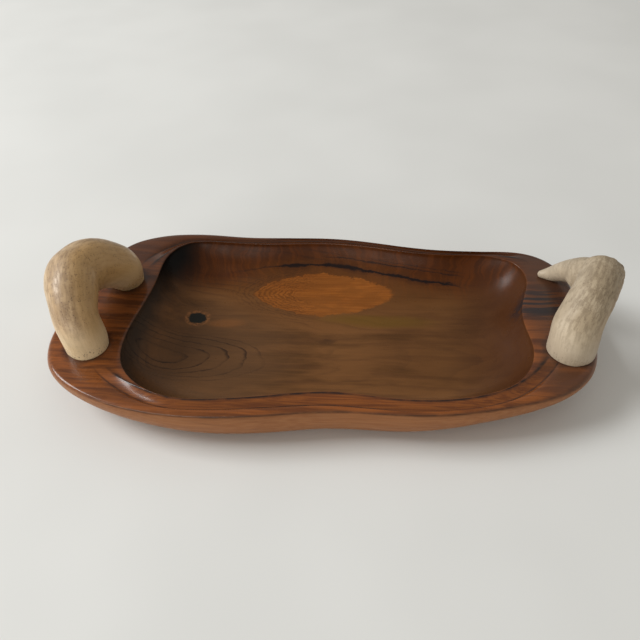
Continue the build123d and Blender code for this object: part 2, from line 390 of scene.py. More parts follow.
# %% [markdown]
# ## Growing the antlers
#
# Each limb starts as a circle under the deck and is extruded ring by ring along the antler's own
# line, tilted and sized at every step.  The beam and its tine are then joined and remeshed into one
# skin, as they grow in life, and sawn off flat where they stand on the deck.

# %% Limb builder
RING_POINTS = 40
LIMB_STEP = 3.0


def limb_path(stations):
    """Middles, radii and directions at even small steps along a list of (x, y, z, radius)."""
    stations = np.array(stations, float)
    gaps = np.linalg.norm(np.diff(stations[:, :3], axis=0), axis=1)
    stops = np.concatenate([[0], np.cumsum(gaps)])
    slopes = np.gradient(stations, stops, axis=0)
    count = int(stops[-1] / LIMB_STEP)
    samples = []
    for at in np.linspace(0, stops[-1], count):
        i = min(np.searchsorted(stops, at, side="right") - 1, len(gaps) - 1)
        t = (at - stops[i]) / gaps[i]
        a = stations[i] * (2 * t**3 - 3 * t**2 + 1) + stations[i + 1] * (3 * t**2 - 2 * t**3)
        b = slopes[i] * (t**3 - 2 * t**2 + t) + slopes[i + 1] * (t**3 - t**2)
        samples.append(a + b * gaps[i])
    samples = np.array(samples)
    directions = np.gradient(samples[:, :3], axis=0)
    directions /= np.linalg.norm(directions, axis=1)[:, None]
    return samples[:, :3], samples[:, 3], directions


def grow_limb(name, stations, round_end=0.0):
    """Extrudes a circle along a limb.  A round_end closes it with a dome of that height in mm."""
    middles, radii, directions = limb_path(stations)
    if round_end:
        last = middles[-1].copy()
        for turn in (30, 55, 75, 88):
            lean = math.radians(turn)
            middles = np.vstack([middles, last + directions[-1] * round_end * math.sin(lean)])
            radii = np.append(radii, stations[-1][3] - round_end * (1 - math.cos(lean)))
            directions = np.vstack([directions, directions[-1]])
    deselect_all()
    bpy.ops.mesh.primitive_circle_add(vertices=RING_POINTS, radius=radii[0] * MM, fill_type="NGON")
    limb = bpy.context.object
    limb.name = name
    mark = limb.data.attributes.new("station", "INT", "POINT")
    mark.data.foreach_set("value", list(range(RING_POINTS)))
    pick(limb)
    bpy.ops.object.mode_set(mode="EDIT")
    bpy.ops.mesh.select_all(action="SELECT")
    side = Vector((1, 0, 0))
    for number, (middle, radius, direction) in enumerate(zip(middles, radii, directions)):
        if number:
            bpy.ops.mesh.extrude_region_move()
        direction = Vector(direction)
        side = (side - direction * side.dot(direction)).normalized()
        other = direction.cross(side)
        mesh = bmesh.from_edit_mesh(limb.data)
        layer = mesh.verts.layers.int["station"]
        for vertex in mesh.verts:
            if vertex.select:
                turn = math.tau * vertex[layer] / RING_POINTS
                offset = side * math.cos(turn) + other * math.sin(turn)
                vertex.co = (Vector(middle) + offset * radius) * MM
        bmesh.update_edit_mesh(limb.data)
    bpy.ops.mesh.select_all(action="SELECT")
    bpy.ops.mesh.normals_make_consistent(inside=False)
    bpy.ops.object.mode_set(mode="OBJECT")
    return limb, middles


def join_skin(name, limbs, voxel, smoothing):
    """Joins limbs into one closed skin."""
    deselect_all()
    for limb in limbs:
        limb.select_set(True)
    bpy.context.view_layer.objects.active = limbs[0]
    if len(limbs) > 1:
        bpy.ops.object.join()
    skin = bpy.context.object
    skin.name = name
    apply_modifier(skin, "REMESH", mode="VOXEL", voxel_size=voxel * MM, adaptivity=0.0)
    apply_modifier(skin, "SMOOTH", factor=0.5, iterations=smoothing)
    return skin


def saw_flat(piece, height):
    """Cuts away all that is under a height and closes the cut."""
    pick(piece)
    bpy.ops.object.mode_set(mode="EDIT")
    bpy.ops.mesh.select_all(action="SELECT")
    bpy.ops.mesh.bisect(
        plane_co=(0, 0, height * MM), plane_no=(0, 0, 1), use_fill=True, clear_inner=True
    )
    bpy.ops.object.mode_set(mode="OBJECT")


# %% [markdown]
# ## The surface of an antler
#
# Antler is bone: its skin has slow lumps, shallow flutes that run lengthwise where blood vessels
# lay, and small pits.  To run the flutes along a bent limb, each vertex is given coordinates along
# and across its own limb, kept in an attribute that the finish reads too.

# %% Coordinates that follow the limb


def limb_coordinates(piece, line):
    """Stores on each vertex its distance along the limb's line and its place across it, in metres."""
    line = np.array(line) * MM
    gaps = np.linalg.norm(np.diff(line, axis=0), axis=1)
    stops = np.concatenate([[0], np.cumsum(gaps)])
    directions = np.gradient(line, axis=0)
    directions /= np.linalg.norm(directions, axis=1)[:, None]
    sides = []
    side = np.array([1.0, 0.0, 0.0])
    for direction in directions:
        side = side - direction * side.dot(direction)
        side /= np.linalg.norm(side)
        sides.append(side)
    sides = np.array(sides)
    places = np.array([vertex.co for vertex in piece.data.vertices])
    nearest = np.array([np.argmin(((line - place) ** 2).sum(1)) for place in places])
    arm = places - line[nearest]
    along = stops[nearest] + (arm * directions[nearest]).sum(1)
    across = (arm * sides[nearest]).sum(1)
    other = (arm * np.cross(directions[nearest], sides[nearest])).sum(1)
    values = np.column_stack([along, across, other])
    mark = piece.data.attributes.new("limb", "FLOAT_VECTOR", "POINT")
    mark.data.foreach_set("vector", values.ravel())
    return values / MM


def antler_skin(piece, values, lump, flute, pit, seed, burr_x=1000.0, burr=0.0):
    """Lumps, lengthwise flutes and pits, and a rough burr to the right of burr_x, mostly cut inwards."""

    def amount(place, i):
        along, across, other = values[i]
        slow = noise.noise(Vector(place / 24.0) + Vector((seed, 0, 0)))
        run = noise.noise(Vector((along / 34.0, across / 3.4, other / 3.4)) + Vector((0, seed, 0)))
        fine = noise.noise(Vector(place / 2.6) + Vector((0, 0, seed)))
        stretched = Vector((place[0] / 7.0, place[1] / 3.6, place[2] / 3.6))
        knobs = noise.noise(stretched + Vector((seed, seed, 0)))
        rough = burr * smooth((place[0] - burr_x) / 9.0) * max(0.0, 0.35 - knobs)
        return lump * (slow - 0.5) - flute * max(0.0, run) - pit * max(0.0, fine - 0.25) - rough

    move_along_normals(piece, amount)


# %% [markdown]
# The left handle is one stout limb.  A curve with a bevel and a radius at each point could make it
# too; rings are used so that both handles are built in the same way.

# %% Left handle: a stout antler bent into a hook
left_low, left_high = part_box("left_handle")
LEFT_FOOT = (-223.0, -54.0)
LEFT_HANDLE = [
    (1, 0, -10, 20.6), (0.5, 0, 6, 21.2), (-0.5, 0, 20, 21.8), (-4, 5, 34, 22.6),
    (-9, 21, 44, 24.7), (-15, 47, 49, 27.6), (-8, 66, 46, 27.4), (4, 80, 36, 24.8),
    (10, 92, 22, 23.2), (11, 99, 9, 20.2), (11, 103, -8, 16.8),
]  # fmt: skip


def placed(stations, foot):
    return [(foot[0] + x, foot[1] + y, deck + z, radius) for x, y, z, radius in stations]


limb, left_line = grow_limb("left_limb", placed(LEFT_HANDLE, LEFT_FOOT))
left_handle = join_skin("left_antler", [limb], voxel=1.1, smoothing=4)
values = limb_coordinates(left_handle, left_line)
antler_skin(left_handle, values, lump=1.6, flute=0.16, pit=0.12, seed=4.0)
saw_flat(left_handle, deck)
report(left_handle)

# %% [markdown]
# The right handle is a thinner beam that ends in a burr, the rough ring at an antler's base.  Its
# tine is a second limb.  The two are remeshed together, where a boolean would leave a sharp seam.

# %% Right handle: a beam that ends in a burr, and its tine
RIGHT_FOOT = (238.0, -38.0)
RIGHT_BEAM = [
    (0, 0, -10, 21.6), (0, 0, 6, 23.2), (1, 5, 20, 23.2), (8, 15, 36, 21.2),
    (18, 31, 45, 21.0), (26.5, 50, 45.5, 21.6), (29, 57, 45.5, 21.2),
]  # fmt: skip
RIGHT_TINE = [
    (23, 46, 43, 21.0), (17.5, 67, 36, 18.2), (12, 83, 27, 14.0), (6, 95, 16, 10.6),
    (-3, 104, 6, 7.6), (-11, 107, 3, 4.6),
]  # fmt: skip
beam, beam_line = grow_limb("right_beam", placed(RIGHT_BEAM, RIGHT_FOOT), round_end=4.5)
tine, tine_line = grow_limb("right_tine", placed(RIGHT_TINE, RIGHT_FOOT), round_end=4.0)
right_handle = join_skin("right_antler", [beam, tine], voxel=1.0, smoothing=4)
values = limb_coordinates(right_handle, beam_line)
antler_skin(right_handle, values, lump=1.3, flute=0.16, pit=0.10, seed=9.0, burr_x=266.0, burr=1.0)
saw_flat(right_handle, deck)
report(right_handle)

for handle, node in ((left_handle, "left_handle"), (right_handle, "right_handle")):
    pick(handle)
    bpy.ops.object.shade_smooth()
    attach(handle, "root")
    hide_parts(node)

# %% [markdown]
# ## Mixing the finishes
#
# A finish is a small tree of nodes.  A few helpers keep each line of it short: they add a node, set
# its values or link its sockets, and hand back the socket that comes out.

# %% Node helpers


class Recipe:
    """A material being mixed, with short ways to add the usual nodes."""

    def __init__(self, name):
        self.material = bpy.data.materials.new(name)
        self.material.use_nodes = True
        self.tree = self.material.node_tree
        self.tree.nodes.clear()
        out = self.tree.nodes.new("ShaderNodeOutputMaterial")
        self.shader = self.tree.nodes.new("ShaderNodeBsdfPrincipled")
        self.tree.links.new(self.shader.outputs[0], out.inputs["Surface"])

    def put(self, socket, value):
        if isinstance(value, bpy.types.NodeSocket):
            self.tree.links.new(value, socket)
        else:
            socket.default_value = value

    def math(self, operation, a, b=0.0, clamp=False):
        node = self.tree.nodes.new("ShaderNodeMath")
        node.operation = operation
        node.use_clamp = clamp
        self.put(node.inputs[0], a)
        self.put(node.inputs[1], b)
        return node.outputs[0]

    def times(self, a, b, clamp=False):
        return self.math("MULTIPLY", a, b, clamp)

    def plus(self, a, b):
        return self.math("ADD", a, b)

    def minus(self, a, b):
        return self.math("SUBTRACT", a, b)

    def vector(self, operation, a, b=(0, 0, 0)):
        node = self.tree.nodes.new("ShaderNodeVectorMath")
        node.operation = operation
        self.put(node.inputs[0], a)
        self.put(node.inputs[1], b)
        return node.outputs["Value" if operation in ("LENGTH", "DOT_PRODUCT") else "Vector"]

    def split(self, vector):
        node = self.tree.nodes.new("ShaderNodeSeparateXYZ")
        self.put(node.inputs[0], vector)
        return node.outputs

    def noise(self, place, scale, detail=3.0, rough=0.55, colour=False):
        """Noise with a size in millimetres along each axis, or one size for all."""
        if not isinstance(scale, tuple):
            scale = (scale, scale, scale)
        node = self.tree.nodes.new("ShaderNodeTexNoise")
        node.inputs["Scale"].default_value = 1.0
        node.inputs["Detail"].default_value = detail
        node.inputs["Roughness"].default_value = rough
        shrunk = self.vector("MULTIPLY", place, tuple(1 / size for size in scale))
        self.put(node.inputs["Vector"], shrunk)
        return node.outputs["Color" if colour else "Fac"]

    def spread(self, value, low, high, to_low=0.0, to_high=1.0):
        """A smooth step: low gives to_low, high gives to_high."""
        node = self.tree.nodes.new("ShaderNodeMapRange")
        node.interpolation_type = "SMOOTHSTEP"
        for name, amount in zip(("From Min", "From Max", "To Min", "To Max"), (low, high, to_low, to_high)):
            node.inputs[name].default_value = amount
        self.put(node.inputs["Value"], value)
        return node.outputs[0]

    def mix(self, share, a, b, blend="MIX"):
        node = self.tree.nodes.new("ShaderNodeMix")
        node.data_type = "RGBA"
        node.blend_type = blend
        self.put(node.inputs[0], share)
        self.put(node.inputs[6], a)
        self.put(node.inputs[7], b)
        return node.outputs[2]

    def attribute(self, name, vector=False):
        node = self.tree.nodes.new("ShaderNodeAttribute")
        node.attribute_name = name
        return node.outputs["Vector" if vector else "Fac"]

    def object_mm(self):
        node = self.tree.nodes.new("ShaderNodeTexCoord")
        return self.vector("MULTIPLY", node.outputs["Object"], (1000, 1000, 1000))

    def blob(self, place, centre, radii, soft=0.25):
        """1 inside a stretched ball, easing to 0 across its skin."""
        away = self.vector("SUBTRACT", place, centre)
        shrunk = self.vector("MULTIPLY", away, tuple(1 / radius for radius in radii))
        return self.spread(self.vector("LENGTH", shrunk), 1 + soft, 1 - soft)

    def bump(self, height, strength, distance):
        node = self.tree.nodes.new("ShaderNodeBump")
        node.inputs["Strength"].default_value = strength
        node.inputs["Distance"].default_value = distance * MM
        self.put(node.inputs["Height"], height)
        self.put(self.shader.inputs["Normal"], node.outputs[0])


def colour(red, green, blue):
    return (red, green, blue, 1.0)


# %% [markdown]
# ## The hardwood
#
# The block is cut from one log, so its figure is solid: every feature is a shape in space, and the
# surface shows whatever it cuts through.  The recipe is built up the way a painter would glaze it:
# first the coordinates, then a ground colour, then one layer for each thing the eye finds in the
# board.

# %% Hardwood: wandering coordinates
DARK = colour(0.010, 0.006, 0.006)


def swirl(r, scale, detail, rough=0.55):
    """Noise in three directions, centred on nothing, to push coordinates about."""
    cloud = r.noise(r.place, scale, detail, rough, colour=True)
    return r.vector("SUBTRACT", cloud, (0.5, 0.5, 0.5))


def pushed(r, place, push, amount):
    return r.vector("ADD", place, r.vector("MULTIPLY", push, amount))


def start_wood(name):
    r = Recipe(name)
    r.place = r.object_mm()
    r.x, r.y, r.z = r.split(r.place)
    r.wander = swirl(r, (130.0, 44.0, 44.0), 2.0)
    r.crinkle = swirl(r, (9.0, 6.0, 6.0), 4.0, 0.7)
    r.warped = pushed(r, r.place, r.wander, (44.0, 18.0, 18.0))
    r.warped = pushed(r, r.warped, swirl(r, (22.0, 8.0, 8.0), 3.0), (7.0, 2.6, 2.6))
    r.torn = pushed(r, r.place, r.crinkle, (15.0, 11.0, 8.0))
    r.torn = pushed(r, r.torn, r.wander, (14.0, 8.0, 6.0))
    r.fine = r.noise(r.place, (80.0, 1.6, 1.6), detail=4.0)
    r.broad = r.noise(r.warped, (95.0, 7.0, 7.0), detail=3.0)
    r.hull = r.attribute("hull")
    r.edge = r.attribute("edge")
    r.hollow = r.attribute("hollow")
    r.outside = r.minus(1.0, r.hollow)
    return r


def layer(r, base, share, top, amount=1.0):
    """Lays a colour over the base where share says so."""
    return r.mix(r.times(share, amount, clamp=True), base, top)


# %% [markdown]
# ### Ground colour
#
# The floor is a plain mid brown.  Towards the back and the right it turns redder and darker, as
# heartwood does nearer the heart, and the left end is close to black, its wall with painted shade
# as well as dark wood.  The decks and rims, which hands have polished, are the reddest; the hull,
# which they have not, is a dry tan.

# %% Hardwood: ground colour


def ground(r):
    tone = r.noise(r.warped, (110.0, 26.0, 26.0), detail=4.0)
    brown = colour(0.078, 0.033, 0.0105)
    pale = colour(0.168, 0.071, 0.023)
    base = r.mix(r.spread(tone, 0.34, 0.64), brown, pale)
    base = layer(r, base, r.spread(r.fine, 0.42, 0.70), colour(0.20, 0.083, 0.026), 0.30)
    base = layer(r, base, r.spread(r.broad, 0.50, 0.36), colour(0.075, 0.030, 0.012), 0.35)

    right_floor = r.times(r.spread(r.x, 10.0, 110.0), r.spread(r.y, -85.0, -30.0))
    base = layer(r, base, right_floor, colour(0.082, 0.031, 0.008), 0.42)

    # redder up the back wall and to the right, with a faint curl across the grain whose lighter streaks are a
    # painted sheen
    back = r.times(r.spread(r.y, 58.0, 96.0), r.hollow)
    base = layer(r, base, back, colour(0.056, 0.0125, 0.0012), 0.86)
    right_wall = r.times(r.spread(r.x, 120.0, 196.0), r.hollow)
    base = layer(r, base, right_wall, colour(0.055, 0.018, 0.007), 0.80)
    curl_and_sheen = r.noise(r.warped, (5.0, 60.0, 60.0), detail=2.0)
    curl_and_sheen = r.times(r.spread(curl_and_sheen, 0.45, 0.65), back)
    base = layer(r, base, curl_and_sheen, colour(0.14, 0.036, 0.005), 0.35)

    grey = r.blob(r.warped, (-120.0, -30.0, 12.0), (78.0, 75.0, 20.0), 0.5)
    base = layer(r, base, grey, colour(0.150, 0.074, 0.033), 0.55)

    # nearly black at the left end, most of all in its back corner: the wall is dark wood with painted shade,
    # the corner dark wood
    down_the_wall = r.plus(r.x, r.times(r.z, -0.9))
    dark_and_shaded_left_wall = r.times(r.spread(down_the_wall, -182.0, -222.0), r.hollow)
    base = layer(r, base, dark_and_shaded_left_wall, colour(0.027, 0.024, 0.020), 0.84)
    corner = r.times(r.blob(r.warped, (-186.0, 100.0, 44.0), (40.0, 52.0, 32.0), 0.7), r.hollow)
    base = layer(r, base, corner, colour(0.0035, 0.003, 0.0025), 1.0)
    return base


# Where the handles stand on the deck, and how far the painted contact shade reaches round each, in mm.
FOOT_CONTACT_SHADE = [(-223.0, -54.0, 20.0), (-212.0, 47.0, 20.0), (238.0, -38.0, 21.0), (235.0, 66.0, 8.0)]


def outer_faces(r, base):
    """The polished decks and rims, painted contact shade round the feet, partly painted shade towards the
    back, the dark figure on the right deck, and the dry hull.
    """
    stripes = r.mix(r.spread(r.broad, 0.38, 0.60), colour(0.080, 0.020, 0.005), colour(0.235, 0.066, 0.013))
    stripes = layer(r, stripes, r.spread(r.fine, 0.55, 0.36), colour(0.10, 0.028, 0.010), 0.40)
    rubbed = r.mix(r.spread(r.fine, 0.35, 0.65), colour(0.15, 0.038, 0.006), colour(0.27, 0.080, 0.012))
    stripes = layer(r, stripes, r.edge, rubbed, 0.72)
    base = layer(r, base, r.outside, stripes, 0.88)
    # painted contact shade: a dark ring on the deck round each place where a handle stands on it
    for x, y, reach in FOOT_CONTACT_SHADE:
        foot = r.vector("LENGTH", r.vector("MULTIPLY", r.vector("SUBTRACT", r.torn, (x, y, deck)), (1, 1, 0)))
        base = layer(r, base, r.times(r.spread(foot, reach + 7, reach), r.outside), DARK, 0.62)
    # darker towards the back on the decks, rims and hull: partly the wood's own colour, partly painted shade
    rear = r.times(r.spread(r.y, -30.0, 105.0), r.outside)
    base = layer(r, base, rear, colour(0.042, 0.012, 0.0045), 0.72)
    right_deck = r.times(r.spread(r.x, 195.0, 225.0), r.outside)
    base = layer(r, base, right_deck, colour(0.070, 0.032, 0.018), 0.58)
    figure = r.blob(r.warped, (222.0, 27.0, 48.0), (40.0, 21.0, 22.0), 0.45)
    figure = r.times(figure, r.spread(r.broad, 0.60, 0.48, 0.25, 1.0))
    base = layer(r, base, figure, colour(0.018, 0.015, 0.017), 0.92)
    tan = r.mix(r.spread(r.fine, 0.3, 0.7), colour(0.265, 0.105, 0.038), colour(0.335, 0.148, 0.060))
    return layer(r, base, r.hull, tan, 0.90)


# %% [markdown]
# ### Figure on the floor
#
# Where the gouge has cut flat through the log's rings they open into nested arches at the left of
# the floor; elsewhere a few late-wood lines run lengthwise.  A small black knot with a pale ring
# sits behind the arches, with a pale fleck beside it.

# %% Hardwood: rings, arches and the knot


def rings_and_arches(r, base, pith):
    from_pith = r.vector("MULTIPLY", r.vector("SUBTRACT", r.warped, pith), (0.0, 1.0, 1.0))
    ring = r.plus(r.vector("LENGTH", from_pith), r.times(r.split(r.warped)[0], 0.10))
    phase = r.math("FRACT", r.math("DIVIDE", ring, 6.5))
    late = r.times(r.spread(phase, 0.55, 0.95), r.spread(phase, 1.0, 0.95))
    presence = r.spread(r.noise(r.place, (110.0, 30.0, 30.0), detail=2.0), 0.52, 0.74, 0.05, 0.45)
    presence = r.times(presence, r.spread(r.x, 160.0, -40.0, 0.45, 1.0))
    base = layer(r, base, r.times(late, presence), DARK, 0.8)

    # arches: ovals about a point under the left wall, so that only their right ends show
    oval = r.vector("SUBTRACT", pushed(r, r.warped, r.crinkle, (5.0, 3.0, 3.0)), (-188.0, -32.0, 12.0))
    reach = r.vector("LENGTH", r.vector("MULTIPLY", oval, (1 / 122, 1 / 33, 1 / 60)))
    phase = r.math("FRACT", r.times(r.math("POWER", reach, 1.6), 4.4))
    arch = r.times(r.spread(phase, 0.72, 0.96), r.spread(phase, 1.0, 0.96))
    where = r.times(r.spread(reach, 1.25, 0.95), r.spread(r.x, -40.0, -75.0))
    arch = r.times(r.times(arch, where), r.hollow)
    patches = r.noise(r.place, (60.0, 14.0, 14.0), detail=2.0)
    arch = r.times(arch, r.spread(patches, 0.38, 0.60, 0.30, 1.0))
    base = layer(r, base, r.times(where, r.hollow), colour(0.075, 0.043, 0.025), 0.12)
    return layer(r, base, arch, DARK, 0.72)


def knot(r, base):
    near = pushed(r, r.place, r.crinkle, (7.0, 6.0, 3.0))
    oval = r.vector("SUBTRACT", near, (-137.0, 27.0, 12.0))
    reach = r.vector("LENGTH", r.vector("MULTIPLY", oval, (1 / 9.6, 1 / 8.2, 1 / 9)))
    ring = r.times(r.spread(reach, 1.62, 1.30), r.spread(reach, 1.02, 1.16))
    dots = r.spread(r.noise(r.place, 4.0, detail=3.0), 0.42, 0.58, 0.15, 1.0)
    base = layer(r, base, r.times(ring, dots), colour(0.30, 0.125, 0.045), 0.85)
    base = layer(r, base, r.spread(reach, 1.08, 0.92), colour(0.013, 0.015, 0.013), 0.97)
    fleck = r.blob(r.warped, (-104.0, 20.0, 12.0), (19.0, 6.0, 6.0), soft=0.5)
    base = layer(r, base, fleck, colour(0.27, 0.105, 0.032), 0.55)
    mark = r.blob(r.torn, (6.0, -2.0, 12.0), (9.0, 3.0, 4.0), soft=0.6)
    return layer(r, base, mark, DARK, 0.35)


# %% [markdown]
# ### Sapwood and the black vein
#
# A lens of golden sapwood lies across the foot of the back wall: rounded above, drawn to a point
# below, ragged all round, with fine contour lines at its left.  A greenish band runs on from it,
# and a black vein arches over it, thick above the lens and a hair line at its ends.

# %% Hardwood: sapwood, green band and vein


def sapwood(r, base):
    x, y, _ = r.split(r.torn)
    sideways = r.math("DIVIDE", r.math("ABSOLUTE", r.plus(x, 4.0)), 78.0)
    rise = r.minus(y, 72.0)
    below = r.math("DIVIDE", r.math("MAXIMUM", r.times(rise, -1.0), 0.0), 36.0)
    over = r.math("DIVIDE", r.math("MAXIMUM", rise, 0.0), 27.0)
    reach = r.plus(r.math("POWER", sideways, 1.7), r.math("POWER", below, 1.45))
    reach = r.plus(reach, r.math("POWER", over, 2.0))

    gold = r.mix(r.spread(r.fine, 0.3, 0.7), colour(0.20, 0.058, 0.009), colour(0.29, 0.094, 0.016))
    cloud = r.noise(r.warped, (30.0, 12.0, 12.0))
    gold = layer(r, gold, r.spread(cloud, 0.6, 0.4), colour(0.17, 0.055, 0.010), 0.5)
    contour = r.math("PINGPONG", r.times(r.math("SQRT", reach), 15.0), 0.5)
    contour = r.times(r.spread(contour, 0.30, 0.05), r.spread(r.x, 5.0, -35.0))
    contour = r.times(contour, r.spread(reach, 0.10, 0.30))
    outer = r.times(contour, r.spread(reach, 1.9, 1.2))

    around = r.times(r.spread(reach, 2.6, 1.2), r.hollow)
    base = layer(r, base, around, colour(0.135, 0.052, 0.014), 0.45)
    base = layer(r, base, r.times(outer, r.hollow), DARK, 0.30)
    gold = layer(r, gold, contour, colour(0.085, 0.027, 0.006), 0.6)
    inside = r.times(r.spread(reach, 1.06, 0.92), r.hollow)
    base = layer(r, base, inside, gold, 0.96)
    green = r.blob(r.warped, (60.0, 31.0, 12.0), (50.0, 7.5, 6.0), soft=0.6)
    green = r.times(green, r.hollow)
    return layer(r, base, green, colour(0.125, 0.066, 0.008), 0.6)


VEINS = [
    # rise above the main vein, mm; thickness, mm; strength; where it starts and is full, x in mm
    (0.0, 1.15, 0.95, -128.0, -40.0),
    (7.5, 0.7, 0.70, -18.0, 20.0),
    (10.5, 0.6, 0.50, 30.0, 75.0),
]  # fmt: skip


def veins(r, base):
    along = r.plus(r.x, 27.0)
    along = r.times(along, r.spread(r.x, -70.0, -20.0, 1.9, 1.0))
    fall = r.times(r.times(along, along), 0.00029)
    slow_sway = r.times(r.split(r.wander)[1], 7.0)
    quick_sway = r.times(r.split(r.crinkle)[2], 3.6)
    sway = r.plus(slow_sway, quick_sway)
    level = r.plus(r.plus(r.z, fall), sway)
    body = r.noise(r.place, (34.0, 12.0, 12.0), detail=3.0)
    body = r.times(r.spread(body, 0.38, 0.62, 0.35, 1.3), r.spread(r.x, 25.0, 60.0, 1.25, 0.75))
    body = r.times(body, r.spread(r.x, -70.0, -35.0, 0.45, 1.0))
    back = r.times(r.spread(r.y, 62.0, 78.0), r.hollow)
    back = r.times(back, r.spread(r.x, 158.0, 132.0))
    for rise, thickness, strength, start, full in VEINS:
        off = r.math("ABSOLUTE", r.minus(level, 26.5 + rise))
        off = r.math("DIVIDE", r.math("DIVIDE", off, thickness), body)
        vein = r.times(r.spread(off, 1.5, 0.45), r.spread(r.x, start, full))
        haze = r.times(r.spread(off, 5.0, 1.0), r.spread(r.x, start, full))
        base = layer(r, base, r.times(haze, back), colour(0.035, 0.013, 0.007), 0.35 * strength)
        base = layer(r, base, r.times(vein, back), DARK, strength)
    return base


# %% [markdown]
# ### Edges and gloss
#
# A dark line under the crest, in the channel's valley and along its inner edge is partly dirt and
# polish that settle there and partly painted shade.  The rim is rubbed glossier than the floor, and
# the pores run lengthwise.

# %% Hardwood: edges, gloss, and the whole recipe


def edges_and_gloss(r, base):
    broken = r.spread(r.noise(r.place, (17.0, 6.0, 6.0), detail=3.0), 0.36, 0.58, 0.6, 1.0)
    # the dark line: partly dirt and polish, partly painted shade in the channel's valley and under the crest
    base = layer(r, base, r.times(r.attribute("line"), broken), DARK, 0.92)
    r.put(r.shader.inputs["Base Color"], base)
    gloss = r.spread(r.noise(r.place, 12.0, detail=3.0), 0.3, 0.7, 0.27, 0.37)
    gloss = r.plus(gloss, r.times(r.hull, 0.12))
    gloss = r.minus(gloss, r.times(r.edge, 0.07))
    r.put(r.shader.inputs["Roughness"], gloss)
    r.shader.inputs["Specular IOR Level"].default_value = 0.13
    polish = r.times(r.spread(r.outside, 0.1, 1.0), r.spread(r.hull, 0.7, 0.2, 0.05, 0.5))
    r.put(r.shader.inputs["Coat Weight"], polish)
    r.shader.inputs["Coat Roughness"].default_value = 0.16
    pores = r.noise(r.place, (9.0, 0.5, 0.5), detail=2.0)
    relief = r.plus(r.times(pores, 0.6), r.times(r.fine, 0.4))
    r.bump(relief, 0.3, 0.25)
    return r.material


def hardwood(name, pith=(0.0, -24.0, -70.0)):
    r = start_wood(name)
    base = outer_faces(r, ground(r))
    base = rings_and_arches(r, base, pith)
    base = knot(r, sapwood(r, base))
    base = veins(r, base)
    return edges_and_gloss(r, base)


# %% [markdown]
# ## The antler
#
# Bare antler is a warm ivory under a thin grey-brown stain that stays in its flutes and pits.  The
# left one is handled smooth and turns glossy and yellow at its foot; the right one is dry and
# chalky, with a mottled skin.

# %% Antler finish


def antler(name, pale, mid, stain, gloss, chalk, pitted, foot_tint, side_tint, streaks, rear_tint):
    """Three tones of one antler, its roughness, and how mottled, pitted, streaked and tinted it is."""
    r = Recipe(name)
    place = r.object_mm()
    limb = r.vector("MULTIPLY", r.attribute("limb", vector=True), (1000, 1000, 1000))
    across = r.split(limb)[1]
    height = r.split(place)[2]
    slow = r.noise(place, 24.0, detail=3.0)
    vein = r.noise(limb, (34.0, 9.0, 9.0), detail=4.0, rough=0.6)
    run = r.noise(limb, (26.0, 1.5, 1.5), detail=4.0)
    mottle = r.noise(limb, (8.0, 4.2, 4.2), detail=6.0, rough=0.72)
    speck = r.noise(place, 1.5, detail=3.0, rough=0.7)
    crown = r.spread(height, deck + 28.0, deck + 52.0)
    foot = r.spread(height, deck + 42.0, deck + 6.0)

    base = r.mix(r.spread(slow, 0.38, 0.62), mid, pale)
    base = r.mix(r.times(r.spread(vein, 0.50, 0.66), 0.45 * streaks), base, stain)
    base = r.mix(r.times(r.spread(vein, 0.44, 0.36), 0.40 * streaks), base, pale)
    base = r.mix(r.times(r.spread(mottle, 0.46, 0.60), chalk), base, stain)
    base = r.mix(r.times(r.spread(run, 0.50, 0.72), 0.20), base, stain)
    base = r.mix(r.times(r.spread(run, 0.48, 0.34), 0.28), base, pale)
    weathered = r.times(crown, r.spread(mottle, 0.36, 0.60, 0.4, 1.0))
    base = r.mix(r.times(weathered, 0.62), base, stain)
    base = r.mix(r.times(r.spread(across, 8.0, 20.0), 0.65), base, side_tint)
    base = r.mix(r.times(r.spread(across, -11.0, -21.0), 0.35), base, foot_tint)
    base = r.mix(r.times(foot, 0.72), base, foot_tint)

    towards_back = r.spread(r.split(place)[1], 5.0, 30.0)
    rear = r.times(towards_back, r.spread(height, deck + 34.0, deck + 10.0))
    base = r.mix(r.times(rear, rear_tint), base, side_tint)

    sawn = r.spread(height, deck + 13.0, deck + 5.0)
    where = r.plus(r.times(crown, 0.55), sawn)
    pits = r.times(r.spread(speck, 0.56, 0.64), r.spread(mottle, 0.46, 0.54))
    pits = r.times(pits, r.times(r.plus(where, 0.1), pitted), clamp=True)
    base = r.mix(pits, base, colour(0.085, 0.045, 0.022))
    r.put(r.shader.inputs["Base Color"], base)

    rough = r.spread(mottle, 0.35, 0.7, gloss - 0.07, gloss + 0.1)
    r.put(r.shader.inputs["Roughness"], r.minus(rough, r.times(foot, 0.10)))
    r.shader.inputs["Specular IOR Level"].default_value = 0.45
    relief = r.minus(r.times(run, 0.5), r.times(pits, 0.8))
    relief = r.plus(relief, r.times(mottle, 0.5))
    r.bump(relief, 0.4, 0.5)
    return r.material


# %% [markdown]
# Both handles share one recipe and differ only in their tones and amounts, as two antlers do.

